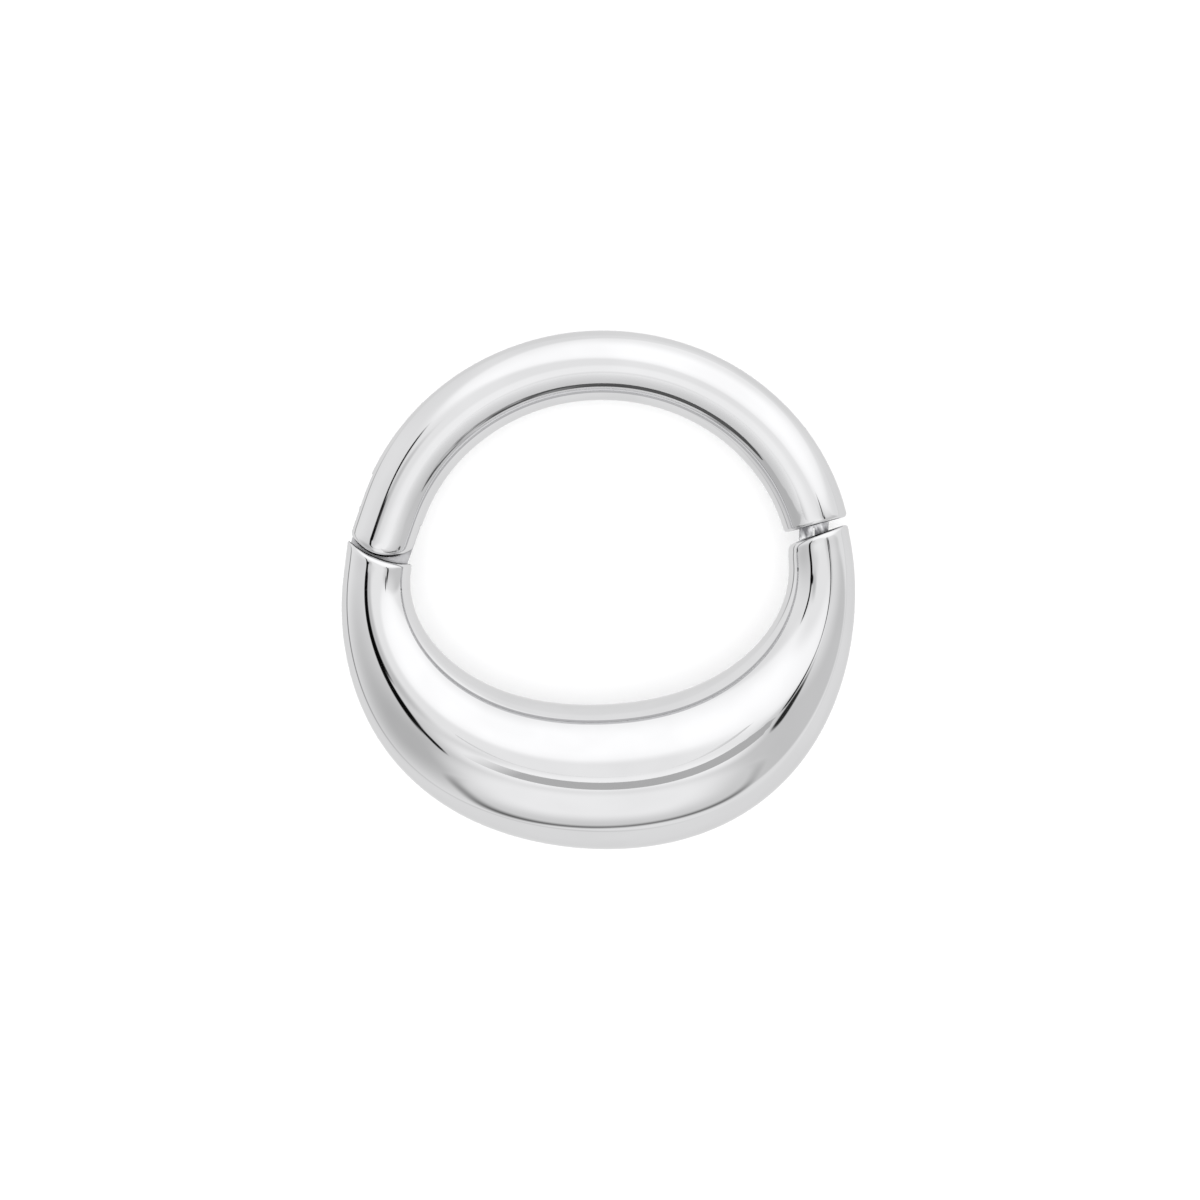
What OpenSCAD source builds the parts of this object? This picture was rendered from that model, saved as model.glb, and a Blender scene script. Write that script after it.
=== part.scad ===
// Hinged cartilage hoop: a round wire arc that turns on a pin in one end of a
// thick crescent and clicks into the other end with a catch tongue.
// The hoop lies on its side, as it would by itself, and is shown not quite clicked shut.
// All sizes are in millimetres. The hoop is drawn flat round its own centre first,
// with the wire arc towards +Y, and is then tipped on to the surface that it lies on.

/* [Opening] */
// Widest width inside the hoop
opening_w = 6.64; // [6.6:0.01:6.7]
// Top of the opening above the hoop's centre
opening_top = 3.35; // [3.3:0.01:3.4]
// Bottom of the opening below the hoop's centre
opening_drop = 2.01; // [1.9:0.01:2.1]

/* [Metal] */
// Thickness of the wire at its crown
crown_t = 1.23; // [1.2:0.01:1.26]
// Thickness of the wire beside the hinge and the clasp
end_t = 1.13; // [1.12:0.01:1.16]
// Thickness of the crescent at its middle
belly_t = 2.56; // [2.2:0.01:2.8]

/* [Hinge] */
// Place of the hinge pin across the hoop
pin_x = -3.72; // [-3.74:0.01:-3.7]
// Place of the hinge pin above the hoop's centre
pin_y = 1.34; // [1.32:0.01:1.36]
// Diameter of the hinge pin
pin_d = 0.4; // [0.36:0.01:0.42]
// Length of the hinge pin
pin_len = 1.06; // [1:0.01:1.08]
// Gap all round the pin in its bores
pin_gap = 0.02; // [0.01:0.005:0.03]
// Radius of the wire's rounded end about the pin
knuckle_r = 0.76; // [0.74:0.01:0.78]
// Radius of the hinge tongue's eye
eye_r = 0.5; // [0.47:0.01:0.51]
// Thickness of the hinge tongue
tongue_t = 0.3; // [0.28:0.01:0.34]
// Gap between faces that turn past each other
running_gap = 0.03; // [0.025:0.005:0.04]
// Radius of the hollow seat in the crescent's hinge end
seat_r = 1.71; // [1.6:0.01:1.8]

/* [Clasp] */
// Width of the catch tongue
catch_w = 0.51; // [0.46:0.01:0.52]
// Thickness of the catch tongue from front to back
catch_t = 0.4; // [0.36:0.01:0.42]
// Distance from the pin to the near side of the catch tongue
catch_reach = 7.24; // [7.23:0.01:7.26]
// Width of the slit that splits the catch tongue
slit_w = 0.04; // [0.03:0.01:0.06]
// Gap round the catch tongue in its socket
socket_gap = 0.04; // [0.03:0.005:0.05]
// Degrees that the hoop still has to turn to be shut
close_angle = 0.75; // [0.5:0.05:0.8]
// Rounding of the wire's rim at the clasp
wire_rim = 0.07; // [0.04:0.01:0.09]
// Rounding of the crescent's rim at the clasp
crescent_rim = 0.1; // [0.06:0.01:0.12]

/* [Hidden] */
$fn = 96;

// Edge lines of the hoop as seen from the front. Each is an ellipse, a little fuller
// at its diagonals by the share in bulge, and turned by turn degrees.
// Columns: mid_x, mid_y, half_w, half_h, bulge, turn
MID_X = 0;
MID_Y = 1;
HALF_W = 2;
HALF_H = 3;
BULGE = 4;
TURN = 5;
side = opening_w / 2;
belly_y = -opening_drop - belly_t;
WIRE_INNER = [0.04, 0.25, side - 0.01, opening_top - 0.25, 0, 0];
WIRE_OUTER = [0.03, 0.37, side + end_t - 0.01, opening_top + crown_t - 0.37, 0, 3];
CRESCENT_INNER = [-0.015, 0.29, side + 0.025, opening_drop + 0.29, 0.012, 2.7];
CRESCENT_OUTER = [-0.03, -0.14, side + 1.21, -0.14 - belly_y, 0.029, -5.5];

// Both pieces are round sections strung between an outer and an inner edge line.
// Columns: edge line, direction where it starts at the hinge, direction where it ends
// at the clasp, both in degrees from +X about the edge line's own centre, and how far
// its hinge end leans in from the edge line
LINE = 0;
START = 1;
END = 2;
LEAN = 3;
WIRE = [[WIRE_OUTER, 177.5, 12.1, -0.09], [WIRE_INNER, 177.5, 13.2, -0.08]];
CRESCENT = [[CRESCENT_OUTER, 166.5, 376.6, 0.045], [CRESCENT_INNER, 175.2, 368.6, 0.035]];
// Share of each piece's length, next to the hinge, that leans
lean_share = 0.1;
WIRE_SIDES = 32;
WIRE_RINGS = 46;
CRESCENT_SIDES = 40;
CRESCENT_RINGS = 60;
RIM_STEPS = 4;
SEARCH_STEPS = 100;

// Hinge directions, in degrees about the pin
knuckle_dir = 160.5;
seat_dir = 244;

// Catch tongue: its direction from the pin in degrees, half its length, how much of it
// the slit leaves whole, and the degrees that the slit is sawn out of square. The socket
// lies where the tongue is when the hoop is shut.
catch_dir = -2.6;
catch_half = 0.41;
slit_root = 0.31;
slit_slant = 9;
socket_dir = catch_dir - close_angle;
socket_half = catch_half + 0.06;

// Hinge tongue: how far its sides are from the pin, so that they lie level with the tube,
// how far the outer side has come in at the root, and how deep the root is soldered in
tongue_in = 0.6;
tongue_out = 0.53;
root_out = 0.43;
tongue_root = 0.2;

// Room for the cuts that shape the ends
cut_reach = 1.2;
cut_depth = 1.5;

function lerp(a, b, t) = a + (b - a) * t;
function unit(v) = v / norm(v);
function add_all(list) = [for (item = list) 1] * list;

// Point of an edge line in a direction seen from its own centre
function edge_r(line, dir) =
    (1 + line[BULGE] * (1 - cos(4 * dir)) / 2)
    / norm([cos(dir) / line[HALF_W], sin(dir) / line[HALF_H]]);
function edge_at(line, dir, lean) =
    [line[MID_X], line[MID_Y]] + (edge_r(line, dir - line[TURN]) - lean) * [cos(dir), sin(dir)];

// Ends of the section's diameter at t, from 0 at the hinge to 1 at the clasp
function rim_point(row, t) =
    edge_at(row[LINE], lerp(row[START], row[END], t), row[LEAN] * pow(max(0, 1 - t / lean_share), 2));
function diameter_at(piece, t) = [for (row = piece) rim_point(row, t)];
function middle_at(piece, t) = add_all(diameter_at(piece, t)) / 2;
function radius_at(piece, t) =
    let (ends = diameter_at(piece, t)) norm(ends[0] - ends[1]) / 2;
function length_of(piece) =
    add_all([for (i = [1:CRESCENT_RINGS])
        norm(middle_at(piece, i / CRESCENT_RINGS) - middle_at(piece, (i - 1) / CRESCENT_RINGS))]);

// One round section, its radius taken in by inset
function section(piece, t, inset, sides) =
    let (
        ends = diameter_at(piece, t),
        middle = (ends[0] + ends[1]) / 2,
        outward = unit(ends[0] - ends[1]),
        r = norm(ends[0] - ends[1]) / 2 - inset,
        way = sign(piece[0][END] - piece[0][START])
    )
    [for (i = [0:sides - 1])
        let (a = 360 * i / sides)
        [each middle + outward * r * cos(a), way * r * sin(a)]];

// How far a tipped piece reaches below the hoop's centre
function drop(piece, tilt) =
    max([for (i = [0:SEARCH_STEPS])
        let (
            ends = diameter_at(piece, i / SEARCH_STEPS),
            outward = unit(ends[0] - ends[1])
        )
        (ends[0][1] + ends[1][1]) / 2 * sin(tilt)
            + norm(ends[0] - ends[1]) / 2 * norm([outward[1] * sin(tilt), cos(tilt)])]);

// Places of the sections: even steps, then the rounded rim at the clasp
function stations(piece, rings, rim) =
    let (rim_share = rim / length_of(piece))
    concat(
        [for (i = [0:rings - 1]) [(1 - rim_share) * i / (rings - 1), 0]],
        [for (i = [1:RIM_STEPS])
            let (a = 90 * i / RIM_STEPS)
            [1 - rim_share * (1 - sin(a)), rim * (1 - cos(a))]]
    );

module strung_sections(piece, rings, sides, rim) {
    places = stations(piece, rings, rim);
    points = [for (place = places) each section(piece, place[0], place[1], sides)];
    last = len(places) - 1;
    walls = [for (i = [0:last - 1], j = [0:sides - 1])
        let (
            a = i * sides + j,
            b = i * sides + (j + 1) % sides,
            c = a + sides,
            d = b + sides
        )
        each [[a, b, d], [a, d, c]]];
    start_cap = [for (j = [sides - 1:-1:0]) j];
    end_cap = [for (j = [0:sides - 1]) last * sides + j];
    polyhedron(points, concat(walls, [start_cap, end_cap]), convexity = 6);
}

// Lies with the crescent's belly and the wire's crown on the surface, origin under the
// middle of the outline
belly_r = radius_at(CRESCENT, 0.5);
belly_mid_y = middle_at(CRESCENT, 0.5)[1];
crown_r = radius_at(WIRE, 0.5);
crown_mid_y = middle_at(WIRE, 0.5)[1];
outline_x = [for (i = [0:SEARCH_STEPS]) rim_point(CRESCENT[0], i / SEARCH_STEPS)[0]];
lie_guess = asin((belly_r - crown_r) / (crown_mid_y - belly_mid_y));
lie_tilt = lie_guess + (drop(CRESCENT, lie_guess) - drop(WIRE, lie_guess))
    / (crown_mid_y - belly_mid_y) * 180 / PI;
lie_x = -(max(outline_x) + min(outline_x)) / 2;
lie_y = (belly_r - crown_r - (belly_mid_y + crown_mid_y) * cos(lie_tilt)) / 2;
lie_z = drop(CRESCENT, lie_tilt);

module as_it_lies() {
    translate([lie_x, lie_y, lie_z]) rotate([-lie_tilt, 0, 0]) children();
}

// At the pin, with +X pointing in a direction about it
module at_pin(dir) {
    translate([pin_x, pin_y, 0]) rotate(dir) children();
}

// At the pin, with +X pointing out of the hoop and +Y down the wire to the crescent
module at_hinge() {
    at_pin(knuckle_dir) children();
}

module slab(from, to, thickness) {
    translate([from[0], from[1], -thickness / 2])
        cube([to[0] - from[0], to[1] - from[1], thickness]);
}

module round_bar(r, length) {
    cylinder(r = r, h = length, center = true);
}

module hinge_bore() {
    at_hinge() round_bar(pin_d / 2 + pin_gap, 2 * cut_depth);
}

// What is cut off round the pin so that the wire ends in a knuckle
module knuckle_waste() {
    at_hinge() difference() {
        slab([-cut_reach, 0], [cut_reach, cut_depth], 2 * cut_depth);
        round_bar(knuckle_r, 3 * cut_depth);
    }
}

// Slot for the hinge tongue, open to the outside as far as the hoop swings
module hinge_slot() {
    slot_t = tongue_t + 2 * running_gap;
    slot_r = eye_r + running_gap;
    at_hinge() {
        round_bar(slot_r, slot_t);
        slab([-cut_reach, 0], [cut_reach, cut_reach], slot_t);
        slab([0, -tongue_out - running_gap], [cut_reach, cut_reach], slot_t);
    }
}

module hinge_tongue() {
    root_y = knuckle_r + running_gap + tongue_root;
    at_hinge() {
        round_bar(eye_r, tongue_t);
        translate([0, 0, -tongue_t / 2]) linear_extrude(tongue_t)
            polygon([[-tongue_in, running_gap], [tongue_out, running_gap],
                [root_out, root_y], [-tongue_in, root_y]]);
    }
}

// Hollow seat that the knuckle turns in
module hinge_seat() {
    offset_r = seat_r - knuckle_r - running_gap;
    translate([pin_x - offset_r * cos(seat_dir), pin_y - offset_r * sin(seat_dir), 0])
        round_bar(seat_r, 2 * cut_depth);
}

// Room for the catch tongue, deep enough for the hoop to be clicked shut
module catch_socket() {
    at_pin(socket_dir) slab([catch_reach - socket_gap, -socket_half],
        [catch_reach + catch_w + socket_gap, socket_half], catch_t + 2 * socket_gap);
}

// Body: a thick crescent, with the hinge tongue soldered in and a socket for the catch
module crescent() {
    color("gainsboro") as_it_lies() difference() {
        union() {
            difference() {
                strung_sections(CRESCENT, CRESCENT_RINGS, CRESCENT_SIDES, crescent_rim);
                hinge_seat();
            }
            hinge_tongue();
        }
        hinge_bore();
        catch_socket();
    }
}

// Tongue that clicks into the crescent, split along its length so that it springs
module catch_tongue() {
    at_pin(catch_dir) difference() {
        slab([catch_reach, -catch_half], [catch_reach + catch_w, catch_half], catch_t);
        translate([catch_reach + catch_w / 2, 0, 0]) rotate([0, slit_slant, 0])
            slab([-slit_w / 2, -2 * catch_half], [slit_w / 2, catch_half - slit_root],
                2 * catch_t);
    }
}

// Moving part: the wire that passes through the ear, with its catch tongue soldered on
module wire_arc() {
    color("silver") as_it_lies() union() {
        difference() {
            strung_sections(WIRE, WIRE_RINGS, WIRE_SIDES, wire_rim);
            knuckle_waste();
            hinge_slot();
            hinge_bore();
        }
        catch_tongue();
    }
}

module hinge_pin() {
    color("gray") as_it_lies() at_hinge() round_bar(pin_d / 2, pin_len);
}

crescent();
wire_arc();
hinge_pin();
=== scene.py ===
import math

import bpy
from mathutils import Matrix, Vector


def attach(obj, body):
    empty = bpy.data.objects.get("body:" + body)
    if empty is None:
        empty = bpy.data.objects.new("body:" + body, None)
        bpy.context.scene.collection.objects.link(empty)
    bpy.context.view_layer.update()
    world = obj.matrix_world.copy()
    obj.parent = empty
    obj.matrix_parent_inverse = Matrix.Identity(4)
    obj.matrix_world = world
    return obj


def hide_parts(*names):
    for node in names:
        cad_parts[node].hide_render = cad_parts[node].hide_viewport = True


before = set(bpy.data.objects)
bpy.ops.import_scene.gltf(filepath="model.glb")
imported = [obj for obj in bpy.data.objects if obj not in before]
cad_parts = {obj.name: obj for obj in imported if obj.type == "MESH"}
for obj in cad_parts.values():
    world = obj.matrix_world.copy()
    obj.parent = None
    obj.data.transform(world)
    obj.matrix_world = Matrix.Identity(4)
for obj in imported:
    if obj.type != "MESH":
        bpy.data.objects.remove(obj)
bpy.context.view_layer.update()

# The hoop is modelled in millimetres, flat round its own centre with the wire arc towards
# +Y. Each finished piece is then made small and tipped on to the floor it lies on.
MM = 0.001
LIE_TILT = math.radians(5.38849)
LIE_PLACE = Vector((0.0281182, 0.00696011, 0.988122))
LIE = Matrix.Translation(LIE_PLACE * MM) @ Matrix.Rotation(-LIE_TILT, 4, "X")

# Edge lines of the hoop seen from the front: ellipses, a little fuller at their diagonals.
# Columns: mid_x, mid_y, half_w, half_h, bulge, turn
WIRE_OUTER = (0.03, 0.37, 4.44, 4.21, 0, 3)
WIRE_INNER = (0.04, 0.25, 3.31, 3.1, 0, 0)
CRESCENT_OUTER = (-0.03, -0.14, 4.53, 4.43, 0.029, -5.5)
CRESCENT_INNER = (-0.015, 0.29, 3.345, 2.3, 0.012, 2.7)

# Directions in degrees where each piece starts at the hinge and ends at the clasp, and how
# far its hinge end leans in from the edge line, over the first share of its length.
# Columns: edge line, start, end, lean
WIRE = ((WIRE_OUTER, 177.5, 12.1, -0.09), (WIRE_INNER, 177.5, 13.2, -0.08))
CRESCENT = ((CRESCENT_OUTER, 166.5, 376.6, 0.045), (CRESCENT_INNER, 175.2, 368.6, 0.035))
LEAN_SHARE = 0.1
# Mean distance of the tube from the hoop's middle, and faces round it
HOOP_R = 3.9
SIDES = 64
# Widths of the rings that each flat end face is divided into, from its rim inwards
CLASP_RINGS = (0.015, 0.06, 0.12, 0.12)
HINGE_RINGS = (0.2, 0.09, 0.09, 0.09)
# Heights, as shares of the tube's radius, over which the hinge rim is rounded a step more
RIM_HEIGHTS = (0, 0.25, 0.45, 0.65, 0.8)

# Hinge: the pin's place, the drums that its two ends are ground to, and the tongue
PIN = Vector((-3.72, 1.34, 0))
PIN_R = 0.2
PIN_LENGTH = 1
BORE_R = 0.22
HINGE_DIR = math.radians(160.5)
KNUCKLE_R = 0.76
SEAT_R = 1.71
SEAT_MID = Vector((-3.317, 2.167, 0))
EYE_R = 0.5
TONGUE_T = 0.3
TONGUE_IN = 0.6
TONGUE_OUT = 0.53
ROOT_OUT = 0.43
ROOT_Y = 0.99
RUNNING_GAP = 0.03
PAST_THE_SKIN = 1.2

# Catch and socket, reached from the pin
CATCH_DIR = math.radians(-2.6)
SOCKET_DIR = math.radians(-3.35)
CATCH_REACH = 7.24
CATCH_W = 0.51
CATCH_T = 0.4
CATCH_HALF = 0.41
CATCH_MID = Vector((CATCH_REACH + CATCH_W / 2, 0, 0))
SLIT_W = 0.04
SLIT_TOP = 0.1
SLIT_SLANT = math.radians(9)
SOCKET_GAP = 0.04
SOCKET_DEEPER = 0.06


def edge_point(line, heading, lean):
    mid_x, mid_y, half_w, half_h, bulge, turn = line
    off = math.radians(heading - turn)
    fuller = 1 + bulge * (1 - math.cos(4 * off)) / 2
    reach = fuller / math.hypot(math.cos(off) / half_w, math.sin(off) / half_h) - lean
    heading = math.radians(heading)
    return Vector((mid_x + reach * math.cos(heading), mid_y + reach * math.sin(heading), 0))


def ends_at(piece, t):
    near_hinge = max(0, 1 - t / LEAN_SHARE) ** 2
    return [edge_point(line, start + (end - start) * t, lean * near_hinge)
            for line, start, end, lean in piece]


def middle_at(piece, t):
    outer, inner = ends_at(piece, t)
    return (outer + inner) / 2


def along_at(piece, t):
    return (middle_at(piece, t + 0.001) - middle_at(piece, t - 0.001)).normalized()


def pick(*objects):
    bpy.ops.object.select_all(action="DESELECT")
    for item in objects:
        item.select_set(True)
    bpy.context.view_layer.objects.active = objects[0]


def select_where(test, kind="VERT"):
    """Selects the points, or in kind FACE the faces, that pass the test, for edit mode."""
    bpy.ops.object.mode_set(mode="EDIT")
    bpy.ops.mesh.select_mode(type="VERT")
    bpy.ops.mesh.select_all(action="DESELECT")
    bpy.ops.mesh.select_mode(type=kind)
    bpy.ops.object.mode_set(mode="OBJECT")
    mesh = bpy.context.object.data
    for part in mesh.vertices if kind == "VERT" else mesh.polygons:
        part.select = test(part)
    bpy.ops.object.mode_set(mode="EDIT")


def modify(piece, kind, **settings):
    pick(piece)
    bpy.ops.object.modifier_add(type=kind)
    finish = piece.modifiers[-1]
    for key, value in settings.items():
        setattr(finish, key, value)
    bpy.ops.object.modifier_apply(modifier=finish.name)


def work_in(piece, tool, operation):
    """Cuts a tool out of a piece or solders it on, and takes the tool away."""
    modify(piece, "BOOLEAN", object=tool, operation=operation, solver="EXACT")
    bpy.data.objects.remove(tool)


def settle(piece, place=(0, 0, 0), turn=0.0):
    """Turns and moves a piece that was made at the origin, and makes that its own place."""
    piece.location = place
    piece.rotation_euler = (0, 0, turn)
    pick(piece)
    bpy.ops.object.transform_apply(location=True, rotation=True, scale=True)


def round_on(outer, inner):
    """A round that stands on the diameter between two points."""
    across = outer - inner
    bpy.ops.mesh.primitive_circle_add(
        vertices=SIDES, radius=across.length / 2, location=(outer + inner) / 2,
        rotation=(math.pi / 2, 0, math.atan2(across.y, across.x)))


def rim_diameters(piece, outer_rim, inner_rim, steps):
    """Diameters that turn the clasp end's rim over, rounder or sharper on either side."""
    outer, inner = ends_at(piece, 1)
    across = (outer - inner).normalized()
    along = Vector((-across.y, across.x, 0))
    if along.dot(along_at(piece, 1)) < 0:
        along.negate()
    for i in range(steps + 1):
        quarter = math.pi / 2 * i / steps
        back, inward = 1 - math.sin(quarter), 1 - math.cos(quarter)
        yield (outer - (along * back + across * inward) * outer_rim,
               inner - (along * back - across * inward) * inner_rim)


def strung_tube(name, piece, hinge_t, rings, rims, hinge_run, drum_mid, drum_r, fillet):
    """A tube of rounds strung between two edge lines. Its clasp end is flat with a turned
    rim, and its hinge end runs on straight and is ground to the shape of a drum."""
    away = -along_at(piece, hinge_t)
    bpy.ops.object.select_all(action="DESELECT")
    bpy.ops.mesh.primitive_circle_add(vertices=3, radius=0.1)
    tube = bpy.context.object
    tube.name = tube.data.name = name
    tube.rotation_euler.z = math.atan2(away.y, away.x) - math.pi / 2
    bpy.context.view_layer.update()
    bpy.ops.object.mode_set(mode="EDIT")
    bpy.ops.mesh.select_all(action="SELECT")
    bpy.ops.mesh.delete(type="VERT")

    middles = [middle_at(piece, i / 50) for i in range(51)]
    length = sum((b - a).length for a, b in zip(middles, middles[1:]))
    last_t = 1 - sum(rims) / 2 / length
    diameters = [ends_at(piece, hinge_t + (last_t - hinge_t) * i / rings) for i in range(rings)]
    diameters += rim_diameters(piece, *rims, 6)
    for pair in diameters:
        round_on(*pair)
    bpy.ops.mesh.select_all(action="SELECT")
    bpy.ops.mesh.bridge_edge_loops()

    select_where(lambda v: v.index >= (len(diameters) - 1) * SIDES)
    bpy.ops.mesh.edge_face_add()
    bpy.ops.mesh.select_mode(type="FACE")
    for thickness in CLASP_RINGS:
        bpy.ops.mesh.inset(thickness=thickness)

    select_where(lambda v: v.index < SIDES)
    bpy.ops.mesh.extrude_region_move(TRANSFORM_OT_translate={"value": away * hinge_run})
    bpy.ops.mesh.edge_face_add()
    bpy.ops.mesh.select_mode(type="FACE")
    for thickness in HINGE_RINGS:
        bpy.ops.mesh.inset(thickness=thickness)
    bpy.ops.object.mode_set(mode="OBJECT")
    middle = tube.matrix_world.inverted() @ middle_at(piece, hinge_t)
    radius = (ends_at(piece, hinge_t)[0] - ends_at(piece, hinge_t)[1]).length / 2

    def off_axis(point):
        return math.hypot(point.x - middle.x, point.z)

    brink = {v.index for v in tube.data.vertices
             if v.index >= len(diameters) * SIDES and v.co.y > middle.y
             and off_axis(v.co) < radius + 0.01}
    seam = tube.vertex_groups.new(name="seam")
    seam.add(list(brink), 1, "REPLACE")
    bpy.ops.mesh.primitive_cylinder_add(vertices=720, radius=drum_r, depth=4, location=drum_mid)
    drum = bpy.context.object
    modify(tube, "SHRINKWRAP", target=drum, wrap_method="PROJECT", use_project_y=True,
           use_negative_direction=True, use_positive_direction=True, vertex_group="seam")
    bpy.data.objects.remove(drum)
    tube.vertex_groups.clear()
    # The rim is rounded widely in front and behind, and hardly at all on the outline
    for height in RIM_HEIGHTS:
        select_where(lambda v: v.index in brink and abs(v.co.z) >= height * radius
                     and off_axis(v.co) > radius - 0.03)
        bpy.ops.mesh.select_mode(type="EDGE")
        bpy.ops.transform.edge_bevelweight(value=1 / len(RIM_HEIGHTS))
    bpy.ops.object.mode_set(mode="OBJECT")
    modify(tube, "BEVEL", width=fillet, segments=5, limit_method="WEIGHT", profile=0.5)
    settle(tube, turn=tube.rotation_euler.z)
    modify(tube, "SUBSURF", levels=1, render_levels=1)
    return tube


def rod(radius, depth, fillet, sides=96):
    bpy.ops.object.select_all(action="DESELECT")
    bpy.ops.mesh.primitive_cylinder_add(vertices=sides, radius=radius, depth=depth)
    bar = bpy.context.object
    if fillet:
        modify(bar, "BEVEL", width=fillet, segments=3, limit_method="ANGLE",
               angle_limit=math.radians(60))
    return bar


def block(low, high, fillet=0.0):
    bpy.ops.object.select_all(action="DESELECT")
    low, high = Vector(low), Vector(high)
    bpy.ops.mesh.primitive_cube_add(size=1, location=(low + high) / 2, scale=high - low)
    bar = bpy.context.object
    pick(bar)
    bpy.ops.object.transform_apply(location=True, rotation=True, scale=True)
    if fillet:
        modify(bar, "BEVEL", width=fillet, segments=3)
    return bar


wire = strung_tube("wire_look", WIRE, hinge_t=0.075, rings=80, rims=(0.07, 0.07),
                   hinge_run=0.2, drum_mid=PIN, drum_r=KNUCKLE_R, fillet=0.15)
crescent = strung_tube("crescent_look", CRESCENT, hinge_t=0.03, rings=100, rims=(0.06, 0.15),
                       hinge_run=0.2, drum_mid=SEAT_MID, drum_r=SEAT_R, fillet=0.13)

# Slot in the knuckle, where the hinge tongue turns
slot_r = EYE_R + RUNNING_GAP
slot_half = TONGUE_T / 2 + RUNNING_GAP
for tool in (
    rod(slot_r, 2 * slot_half, 0),
    block((-PAST_THE_SKIN, 0, -slot_half), (PAST_THE_SKIN, PAST_THE_SKIN, slot_half)),
    block((0, -TONGUE_OUT - RUNNING_GAP, -slot_half), (PAST_THE_SKIN, PAST_THE_SKIN, slot_half)),
    rod(BORE_R, PIN_LENGTH + 0.02, 0),
):
    settle(tool, PIN, HINGE_DIR)
    work_in(wire, tool, "DIFFERENCE")

# Hinge tongue, soldered into the seat, its sides level with the tube's
tongue = block((-TONGUE_IN, RUNNING_GAP, -TONGUE_T / 2), (TONGUE_OUT, ROOT_Y, TONGUE_T / 2))
select_where(lambda v: v.co.x > 0 and v.co.y > ROOT_Y / 2)
bpy.ops.transform.translate(value=(ROOT_OUT - TONGUE_OUT, 0, 0))
bpy.ops.object.mode_set(mode="OBJECT")
modify(tongue, "BEVEL", width=0.012, segments=2)
work_in(tongue, rod(EYE_R, TONGUE_T, 0.012), "UNION")
work_in(tongue, rod(BORE_R, PIN_LENGTH, 0), "DIFFERENCE")
settle(tongue, PIN, HINGE_DIR)
work_in(crescent, tongue, "UNION")

# Socket that the catch clicks into
socket_half = CATCH_HALF + SOCKET_DEEPER
socket = block((CATCH_REACH - SOCKET_GAP, -socket_half, -CATCH_T / 2 - SOCKET_GAP),
               (CATCH_REACH + CATCH_W + SOCKET_GAP, socket_half, CATCH_T / 2 + SOCKET_GAP))
settle(socket, PIN, SOCKET_DIR)
work_in(crescent, socket, "DIFFERENCE")

# Catch tongue, split so that it springs, soldered into the wire's end
catch_half = Vector((CATCH_W / 2, CATCH_HALF, CATCH_T / 2))
catch = block(CATCH_MID - catch_half, CATCH_MID + catch_half, fillet=0.02)
slit = block((-SLIT_W / 2, -1, -1), (SLIT_W / 2, SLIT_TOP, 1))
bpy.ops.transform.rotate(value=-SLIT_SLANT, orient_axis="Y", center_override=(0, 0, 0))
settle(slit, CATCH_MID)
work_in(catch, slit, "DIFFERENCE")
settle(catch, PIN, CATCH_DIR)
work_in(wire, catch, "UNION")

pin = rod(PIN_R, PIN_LENGTH, 0.03)
pin.name = pin.data.name = "pin_look"
settle(pin, PIN, HINGE_DIR)


def linear(hex_colour):
    parts = [int(hex_colour[i:i + 2], 16) / 255 for i in (1, 3, 5)]
    return tuple(p / 12.92 if p <= 0.04045 else ((p + 0.055) / 1.055) ** 2.4 for p in parts) + (1,)


def node(tree, kind, inputs, out=0, **settings):
    """Adds a node. Its inputs are values or other nodes' outputs, by number or name."""
    made = tree.nodes.new("ShaderNode" + kind)
    for key, value in settings.items():
        setattr(made, key, value)
    for place, value in inputs.items():
        if isinstance(value, bpy.types.NodeSocket):
            tree.links.new(value, made.inputs[place])
        else:
            made.inputs[place].default_value = value
    return made.outputs[out]


def along_the_hoop(tree):
    """Place on the hoop in millimetres: along the tube, out from the hoop's middle, and up."""
    flat = node(tree, "Mapping", {
        0: node(tree, "TexCoord", {}, out=3), "Location": LIE_PLACE * MM,
        "Rotation": (-LIE_TILT, 0, 0), "Scale": (MM, MM, MM)}, vector_type="TEXTURE")
    x, y, z = (node(tree, "SeparateXYZ", {0: flat}, out=i) for i in range(3))
    turn = node(tree, "Math", {0: y, 1: x}, operation="ARCTAN2")
    along = node(tree, "Math", {0: turn, 1: HOOP_R}, operation="MULTIPLY")
    level = node(tree, "VectorMath", {0: flat, 1: (1, 1, 0)}, operation="MULTIPLY")
    out = node(tree, "VectorMath", {0: level}, out=1, operation="LENGTH")
    return node(tree, "CombineXYZ", {0: along, 1: out, 2: z})


def brushed_noise(tree, place, per_mm, stretch, detail):
    """Noise with so many features to the millimetre, drawn out along the tube."""
    pace = (per_mm / stretch, per_mm, per_mm)
    spot = node(tree, "VectorMath", {0: place, 1: pace}, operation="MULTIPLY")
    return node(tree, "TexNoise", {0: spot, "Scale": 1, "Detail": detail, "Roughness": 0.6})


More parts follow.
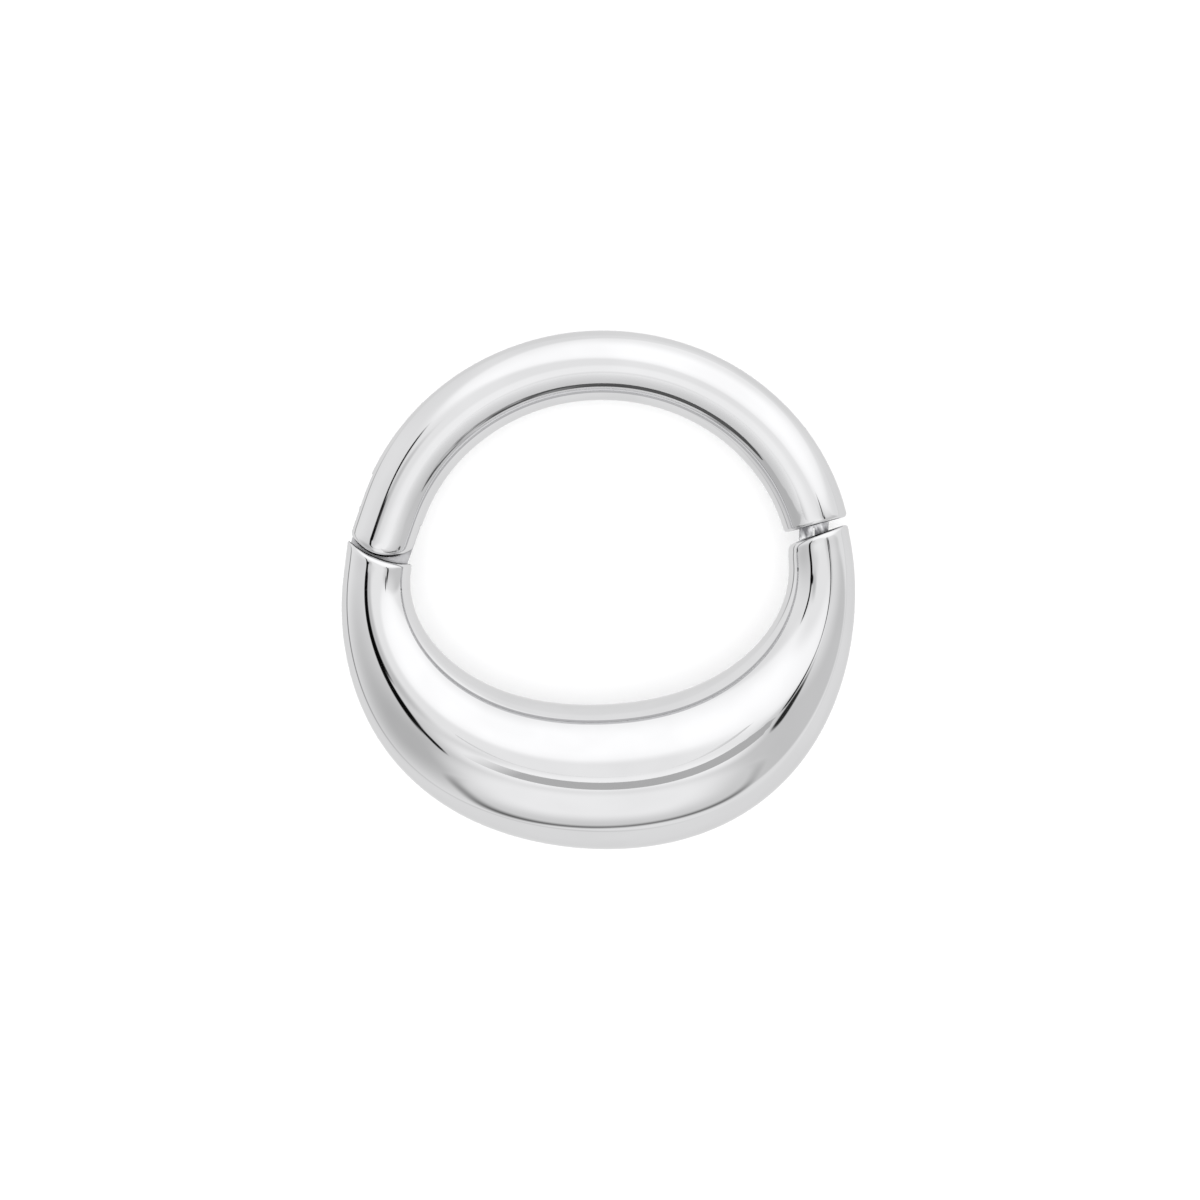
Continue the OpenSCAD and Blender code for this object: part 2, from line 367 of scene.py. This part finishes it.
def steel(name, colour, stain, haze, swell, swells_per_mm, hairline):
    """Steel in one state of finish, in patches of its colour and its stain. Its haze is the
    film or grain that softens a mirrored edge here more than there; its hairlines run along
    the tube; swell and hairline are depths in millimetres."""
    made = bpy.data.materials.new(name)
    made.use_nodes = True
    tree = made.node_tree
    shader = tree.nodes["Principled BSDF"]
    shader.inputs["Metallic"].default_value = 1
    # Steel hardly brightens towards its edges
    shader.inputs["Specular Tint"].default_value = linear("#ECECEC")
    place = along_the_hoop(tree)
    patches = brushed_noise(tree, place, swells_per_mm, 2, 2)
    patches = node(tree, "MapRange", {0: patches, 1: 0.4, 2: 0.62})
    tint = node(tree, "Mix", {0: patches, 6: linear(colour), 7: linear(stain)}, out=2,
                data_type="RGBA")
    tree.links.new(tint, shader.inputs["Base Color"])
    film = brushed_noise(tree, place, 2.5, 3, 3)
    rough = node(tree, "MapRange", {0: film, 1: 0.35, 2: 0.7, 3: haze[0], 4: haze[1]})
    tree.links.new(rough, shader.inputs["Roughness"])
    uneven = node(tree, "Bump", {
        "Strength": 1, "Distance": swell * MM,
        "Height": brushed_noise(tree, place, swells_per_mm, 1.5, 1)})
    # Real hairlines are some thousandths of a millimetre apart; these are drawn coarser
    lines = node(tree, "Bump", {
        "Strength": 1, "Distance": hairline * MM,
        "Height": brushed_noise(tree, place, 24, 30, 2), "Normal": uneven})
    tree.links.new(lines, shader.inputs["Normal"])
    return made


# The thick half is buffed to the higher mirror, uneven by half a thousandth of a millimetre
crescent_finish = steel(
    "mirror_buffed_surgical_steel", "#D3D3D4", "#D0D0D1", (0.02, 0.05), 0.0005, 1.2, 0.00003)
# The wire keeps a trace of the drawing lines that run along it
wire_finish = steel(
    "drawn_and_buffed_surgical_steel", "#D3D3D4", "#CFCFD0", (0.025, 0.06), 0.0005, 1.2, 0.00006)
# The pin is only lightly buffed, because its ends are closed in under the wire's skin
pin_finish = steel("rubbed_down_steel_pin", "#C8C8CA", "#BEBEC0", (0.12, 0.2), 0.0005, 4, 0.0001)
# No wheel reaches the faces that turn past each other, so they stay dull. Their dark colour is
# painted shade for the narrow hinge seam and catch slit.
turned_seam_shade_finish = steel(
    "turned_steel_painted_seam_shade", "#474749", "#333335", (0.35, 0.5), 0.0005, 3, 0.0003)
# The hinge tongue's flats are only sanded, which greys what shows of them in the seam
sanded_finish = steel("sanded_steel_tongue", "#BFBFC1", "#A2A2A4", (0.3, 0.42), 0.001, 4, 0.0004)
# The catch tongue is filed to fit, so its mirror breaks up into light and dark flecks
filed_finish = steel("filed_steel_catch", "#D6D6D8", "#6E6E71", (0.1, 0.2), 0.014, 7, 0.0004)


# How near to a drum's wall a face has to be to count as ground to it, how far from the pin
# the seat reaches, and the angle under which an edge is shaded smooth
ON_THE_DRUM = 0.008
SEAT_REACH = 1.3
SMOOTH_UNDER = math.radians(35)


def from_pin(place, turn):
    return Matrix.Rotation(-turn, 3, "Z") @ (place - PIN)


def is_knuckle_face(face):
    place = from_pin(face.center, HINGE_DIR)
    return place.y > 0 and abs(math.hypot(place.x, place.y) - KNUCKLE_R) < ON_THE_DRUM


def is_seat_face(face):
    off = face.center - SEAT_MID
    ground = abs(math.hypot(off.x, off.y) - SEAT_R) < ON_THE_DRUM
    return ground and (face.center - PIN).length < SEAT_REACH


def is_tongue_flat(face):
    place = from_pin(face.center, HINGE_DIR)
    level = abs(face.normal.z) > 0.5 and place.length < PAST_THE_SKIN
    return level and abs(abs(place.z) - TONGUE_T / 2) < 0.02


def is_slit_wall(face):
    place = from_pin(face.center, CATCH_DIR) - CATCH_MID
    return place.to_2d().length < CATCH_HALF and abs(place.x) < 0.06 and abs(face.normal.z) < 0.3


def is_catch_face(face):
    place = from_pin(face.center, CATCH_DIR) - CATCH_MID
    normal = from_pin(face.normal + PIN, CATCH_DIR)
    inside = abs(place.x) < CATCH_W / 2 + 0.01 and abs(place.z) < CATCH_T / 2 + 0.01
    return inside and abs(place.y) < CATCH_HALF + 0.01 and (
        abs(normal.y) < 0.7 or place.y < 0.03 - CATCH_HALF)


def finish_faces(piece, finish, test):
    pick(piece)
    if finish.name not in piece.data.materials:
        piece.data.materials.append(finish)
    select_where(test, kind="FACE")
    piece.active_material_index = piece.data.materials.find(finish.name)
    bpy.ops.object.material_slot_assign()
    bpy.ops.object.mode_set(mode="OBJECT")


for piece, finish in ((crescent, crescent_finish), (wire, wire_finish), (pin, pin_finish)):
    piece.data.materials.clear()
    piece.data.materials.append(finish)
# The drum faces in the hinge seam and the catch's slit walls get the painted seam shade
finish_faces(crescent, turned_seam_shade_finish, is_seat_face)
finish_faces(crescent, sanded_finish, is_tongue_flat)
finish_faces(wire, turned_seam_shade_finish, is_knuckle_face)
finish_faces(wire, filed_finish, is_catch_face)
finish_faces(wire, turned_seam_shade_finish, is_slit_wall)

for piece, body, solid, slot in (
    (crescent, "crescent", "crescent", "crescent_steel"),
    (wire, "wire_arc", "wire_arc", "wire_steel"),
    (pin, "wire_arc", "hinge_pin", "pin_steel"),
):
    piece.matrix_world = LIE @ Matrix.Scale(MM, 4)
    pick(piece)
    bpy.ops.object.transform_apply(location=True, rotation=True, scale=True)
    bpy.ops.object.shade_smooth_by_angle(angle=SMOOTH_UNDER)
    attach(piece, body)
    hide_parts(solid)

bpy.ops.object.select_all(action="DESELECT")
bpy.ops.mesh.primitive_plane_add(size=6)
floor = bpy.context.object
floor.name = "floor"
paper = bpy.data.materials.new("matt_white_paper")
paper.use_nodes = True
paper.node_tree.nodes["Principled BSDF"].inputs["Base Color"].default_value = linear("#F6F6F6")
paper.node_tree.nodes["Principled BSDF"].inputs["Roughness"].default_value = 0.8
floor.data.materials.append(paper)
# The polish mirrors the pale base of the light tent, and not this sheet of paper
floor.visible_glossy = False

# Camera: the long lens of the photo, square to the hoop. Its distance makes 56.7 pixels to the
# millimetre, and it stands a little low, which puts the hoop's middle as high as the photo's.
LENS = 425
SENSOR = 36
CAMERA_AWAY = 249.86
CAMERA_LOWER = 0.176
camera = bpy.data.objects.new("camera", bpy.data.cameras.new("camera"))
bpy.context.collection.objects.link(camera)
camera.data.sensor_width = SENSOR
camera.data.lens = LENS
camera.data.clip_start = 0.01
camera.matrix_world = LIE @ Matrix.Translation(Vector((0, -CAMERA_LOWER, CAMERA_AWAY)) * MM)
bpy.context.scene.camera = camera

# The light tent, drawn by direction as the front of the hoop sees it. A tone is the grey that
# the steel shows of a card, and places and sizes are degrees off the line to the camera,
# across and up. Each card lies over those before it.
# Columns: tone, across, up, half_w, half_h, turn, squareness, softness
PALE_BASE = 216
PLAIN_LIGHT = 1.7
TENT = {
    "tent seam": (60, -10.5, 8, 106.5, 104.5, 0, 2.5, 0.03),
    "tent wall": (221, -8, 10, 105, 107, 0, 2.7, 0.03),
    "left side": (176, -59, -33, 38, 37, -8, 2.4, 0.77),
    "right side": (193, 34, -35, 67, 41.5, 35, 1.7, 0.06),
    "top panel": (236, 19, 56, 61, 46, -2, 2.1, 0.09),
    "top lamp": (254, 16, 48, 48, 30, -20, 3.4, 0.52),
    "lower seam": (65, 3.5, -64.5, 51, 23.5, 9.5, 3.5, 0.12),
    "lower panel": (200, 5, -59, 49, 25, 10, 2.9, 0.14),
    "lower lamp": (233, -2, -47, 33, 24, 3.5, 3.1, 0.44),
    "front": (228, 0, 9, 32, 10.5, -35, 2.8, 0.44),
    "under the front": (238, 2, -12, 26, 11, 0, 2.8, 0.4),
    "inner fold": (188, -25, 11, 6.7, 5.3, 24, 1.7, 0.78),
    "left bar, top": (18, -35.9, 20.5, 2.4, 10.5, 0, 2.5, 0.3),
    "left bar, middle": (10, -36.6, 1.5, 3.9, 15, 0, 2.4, 0.25),
    "left bar, knot": (8, -34.7, 9.3, 5.5, 2.7, 0, 2.3, 0.3),
    "left bar, foot": (25, -34.2, -14.5, 1.9, 8, 14, 2.3, 0.3),
    "right bar, upper": (40, 31.5, 6.5, 1.5, 3.8, 0, 2.5, 0.35),
    "right bar, lower": (40, 36.8, -1.5, 2.8, 8, 10, 2.5, 0.3),
}


def card_light(tone):
    return linear("#" + 3 * f"{tone:02X}")[0] / linear("#D2D2D3")[0]


world = bpy.data.worlds.new("light_tent")
bpy.context.scene.world = world
world.use_nodes = True
tree = world.node_tree
way = node(tree, "TexCoord", {})
way = node(tree, "Mapping", {0: way, "Rotation": (LIE_TILT, 0, 0)}, vector_type="VECTOR")
off = node(tree, "Math", {0: node(tree, "SeparateXYZ", {0: way}, out=2)}, operation="ARCCOSINE")
off = node(tree, "Math", {0: off}, operation="DEGREES")
flat_way = node(tree, "VectorMath", {0: way, 1: (1, 1, 0)}, operation="MULTIPLY")
flat_way = node(tree, "VectorMath", {0: flat_way}, operation="NORMALIZE")
spread = node(tree, "VectorMath", {0: flat_way, "Scale": off}, operation="SCALE")
light = card_light(PALE_BASE)
for tone, across, up, half_w, half_h, turn, squareness, softness in TENT.values():
    spot = node(tree, "Mapping", {
        0: spread, "Location": (across, up, 0), "Rotation": (0, 0, math.radians(turn)),
        "Scale": (half_w, half_h, 1)}, vector_type="TEXTURE")
    spot = node(tree, "VectorMath", {0: spot}, operation="ABSOLUTE")
    spot = node(tree, "VectorMath", {0: spot, 1: (squareness, squareness, 1)}, operation="POWER")
    reach = node(tree, "VectorMath", {0: spot, 1: (1, 1, 0)}, out=1, operation="DOT_PRODUCT")
    reach = node(tree, "Math", {0: reach, 1: 1 / squareness}, operation="POWER")
    cover = node(tree, "MapRange", {0: reach, 1: 1 + softness, 2: 1 - softness},
                 interpolation_type="SMOOTHSTEP")
    light = node(tree, "Mix", {0: cover, 2: light, 3: card_light(tone)})
# Only the polish mirrors the cards. The paper, over-exposed until it burns out white, and
# the camera see a plain pale light, which also keeps the render quick.
plain = node(tree, "Background", {0: linear("#FFFFFF"), 1: PLAIN_LIGHT})
cards = node(tree, "Background", {0: light, 1: 1})
mirrored = node(tree, "LightPath", {}, out=3)
shown = node(tree, "MixShader", {0: mirrored, 1: plain, 2: cards})
tree.links.new(shown, tree.nodes["World Output"].inputs["Surface"])
world.cycles.sampling_method = "NONE"

# Two upright sheets stand on edge over the thick half, bent round it. The black one is painted
# shade, and its grey from close by is a painted glow. The wire's inner side mirrors them from
# afar, the black one as a thin dark line and the grey one as the soft band above it. The thick
# half mirrors the black one from close by, as a grey line, and only a little of the grey one,
# which stands right over its crown. Only the polish sees them.
# Columns: centre x, centre y, half_w, half_h, from degrees, to degrees, low, tall
BLACK_SHEET = (0, 0, 5.0, 3.87, 226, 326, 2.25, 2.15)
GREY_SHEET = (-0.043, 0.063, 3.914, 3.374, 205, 345, 4.2, 10.5)
# The black sheet's painted glow from close by, the distances between which that turns to its
# painted black, and the X between which it thins out
NEAR_GLOW = 0.63
NEAR, FAR = 3.8 * MM, 5.5 * MM
THIN_FROM, THIN_TO = -2.9 * MM, -1.7 * MM


def heading_of(vertex):
    return math.atan2(vertex.co.y, vertex.co.x) % math.tau


def upright_sheet(name, mid_x, mid_y, half_w, half_h, start, stop, low, tall):
    """Part of an oval wall, lower towards both its ends."""
    start, stop = math.radians(start), math.radians(stop)
    bpy.ops.object.select_all(action="DESELECT")
    bpy.ops.mesh.primitive_circle_add(vertices=180, radius=1)
    sheet = bpy.context.object
    sheet.name = name
    select_where(lambda v: not start < heading_of(v) < stop)
    bpy.ops.mesh.delete(type="VERT")
    bpy.ops.mesh.select_all(action="SELECT")
    bpy.ops.mesh.extrude_region_move(TRANSFORM_OT_translate={"value": (0, 0, 1)})
    for reach, height in ((0.16, 0.8), (0.1, 0.75), (0.05, 0.6)):
        select_where(lambda v: min(heading_of(v) - start, stop - heading_of(v)) < reach)
        bpy.ops.transform.resize(value=(1, 1, height), center_override=(0, 0, 0.4))
    bpy.ops.object.mode_set(mode="OBJECT")
    sheet.matrix_world = (LIE @ Matrix.Scale(MM, 4) @ Matrix.Translation((mid_x, mid_y, low))
                          @ Matrix.Diagonal((half_w, half_h, tall, 1)))
    pick(sheet)
    bpy.ops.object.transform_apply(location=True, rotation=True, scale=True)
    bpy.ops.object.shade_smooth()
    for ray in ("camera", "diffuse", "transmission", "volume_scatter", "shadow"):
        setattr(sheet, "visible_" + ray, False)
    return sheet


def sheet_finish(name, look_of):
    """A sheet that shows in a first mirror image, and not in the mirror image of one. Its
    look is its glow and where it is cut away."""
    made = bpy.data.materials.new(name)
    made.use_nodes = True
    tree = made.node_tree
    glow, cut = look_of(tree)
    depth = node(tree, "LightPath", {}, out="Ray Depth")
    twice = node(tree, "Math", {0: depth, 1: 1.5}, operation="GREATER_THAN")
    unseen = node(tree, "Math", {0: twice, 1: cut}, operation="MAXIMUM")
    shown = node(tree, "MixShader", {
        0: unseen, 1: node(tree, "Emission", {0: glow}), 2: node(tree, "BsdfTransparent", {})})
    tree.links.new(shown, tree.nodes["Material Output"].inputs["Surface"])
    return made


def painted_shade_and_glow(tree):
    """Painted shade: black from afar and smudged towards +X. What stands close under it sees a
    painted grey glow instead, chosen by the ray's length, and there it thins out towards -X."""
    place = node(tree, "TexCoord", {}, out=3)
    smudge = node(tree, "TexNoise", {0: place, "Scale": 1.1 / MM, "Detail": 2})
    smudge = node(tree, "MapRange", {0: smudge, 1: 0.42, 2: 0.6, 3: 0, 4: 0.6})
    x = node(tree, "SeparateXYZ", {0: place})
    side = node(tree, "MapRange", {0: x, 1: 0.3 * MM, 2: 2 * MM, 3: 0.05, 4: 1})
    smudge = node(tree, "Math", {0: smudge, 1: side}, operation="MULTIPLY")
    black = node(tree, "Math", {0: smudge, 1: 0.11}, operation="ADD")
    far = node(tree, "LightPath", {}, out="Ray Length")
    far = node(tree, "MapRange", {0: far, 1: NEAR, 2: FAR})
    thin = node(tree, "MapRange", {0: x, 1: THIN_FROM, 2: THIN_TO, 3: 1, 4: 0})
    cut = node(tree, "Mix", {0: far, 2: thin, 3: 0})
    return node(tree, "Mix", {0: far, 2: NEAR_GLOW, 3: black}), cut


def grey_fade(tree):
    """Grey at its foot and paler towards its top."""
    up = node(tree, "SeparateXYZ", {0: node(tree, "TexCoord", {}, out=3)}, out=2)
    return node(tree, "MapRange", {
        0: up, 1: 5.2 * MM, 2: 15.5 * MM, 3: card_light(196), 4: card_light(232)}), 0


sheet = upright_sheet("black_sheet", *BLACK_SHEET)
sheet.data.materials.append(sheet_finish("painted_shade_sheet", painted_shade_and_glow))
sheet = upright_sheet("grey_sheet", *GREY_SHEET)
sheet.data.materials.append(sheet_finish("grey_card", grey_fade))

bpy.context.scene.view_settings.view_transform = "Standard"
